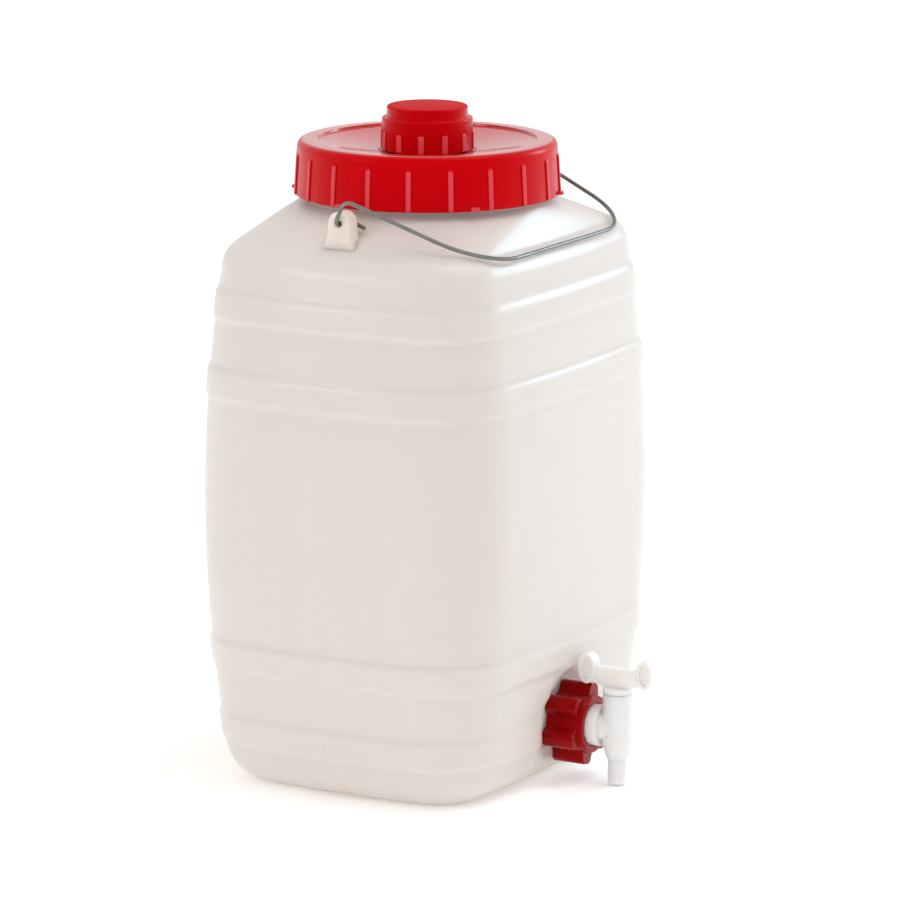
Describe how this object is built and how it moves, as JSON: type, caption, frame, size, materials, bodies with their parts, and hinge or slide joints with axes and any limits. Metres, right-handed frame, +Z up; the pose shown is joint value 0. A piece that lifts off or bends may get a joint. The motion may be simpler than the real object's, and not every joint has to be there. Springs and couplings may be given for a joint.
{
  "type": "barrel",
  "caption": "White plastic barrel of rounded rectangular plan with hoops, a red screw lid with a filling cap, a folding wire bail and a tap held by a red union nut.",
  "frame": {"origin": "middle of the underside of the barrel, under the neck's axis", "axes": "+Z up along the neck's axis, -Y towards the tap, +X along the bail's hinge line"},
  "size_m": [0.2608, 0.2601, 0.3985],
  "materials": {
    "barrel_plastic": "milky natural polyethylene, slightly translucent",
    "red_plastic": "red injection moulded polyethylene, satin gloss",
    "nut_plastic": "darker red injection moulded plastic",
    "tap_plastic": "milky white moulded plastic",
    "wire": "galvanised drawn wire",
    "seal": "pale sealing ring"
  },
  "bodies": {
    "barrel": {"barrel": "barrel_plastic"},
    "lid_lift": {"lid_gasket": "seal"},
    "lid": {"screw_lid": "red_plastic"},
    "cap_lift": {"cap_gasket": "seal"},
    "cap": {"small_cap": "red_plastic"},
    "bail": {"bail": "wire"},
    "tap": {"tap_body": "tap_plastic", "tap_gasket": "seal"},
    "nut": {"union_nut": "nut_plastic"},
    "plug": {"tap_plug": "tap_plastic"}
  },
  "joints": [
    {"name": "bail_swing", "type": "hinge", "parent": "barrel", "child": "bail", "pos_m": [0, 0, 0.3422], "axis": [-1, 0, 0], "range_deg": [0, 175]},
    {"name": "lid_rise", "type": "slide", "parent": "barrel", "child": "lid_lift", "axis": [0, 0, 1], "range_m": [0, 0.012]},
    {"name": "lid_turn", "type": "hinge", "parent": "lid_lift", "child": "lid", "pos_m": [0, 0, 0.3734], "axis": [0, 0, 1], "range_deg": [0, 720]},
    {"name": "cap_rise", "type": "slide", "parent": "lid", "child": "cap_lift", "axis": [0, 0, 1], "range_m": [0, 0.008]},
    {"name": "cap_turn", "type": "hinge", "parent": "cap_lift", "child": "cap", "pos_m": [0, 0, 0.388], "axis": [0, 0, 1], "range_deg": [0, 720]},
    {"name": "tap_draw", "type": "slide", "parent": "barrel", "child": "tap", "axis": [0, -1, 0], "range_m": [0, 0.009]},
    {"name": "nut_turn", "type": "hinge", "parent": "tap", "child": "nut", "pos_m": [0, -0.1065, 0.035], "axis": [0, -1, 0], "range_deg": [0, 1080]},
    {"name": "tap_turn", "type": "hinge", "parent": "tap", "child": "plug", "pos_m": [0, -0.1295, 0.035], "axis": [0, 0, 1], "range_deg": [-90, 90]}
  ],
  "couplings": [
    {"joint": "lid_turn", "follows": "lid_rise", "rad_per_m": 1047.2},
    {"joint": "cap_turn", "follows": "cap_rise", "rad_per_m": 1570.8},
    {"joint": "nut_turn", "follows": "tap_draw", "rad_per_m": 2094.4}
  ]
}
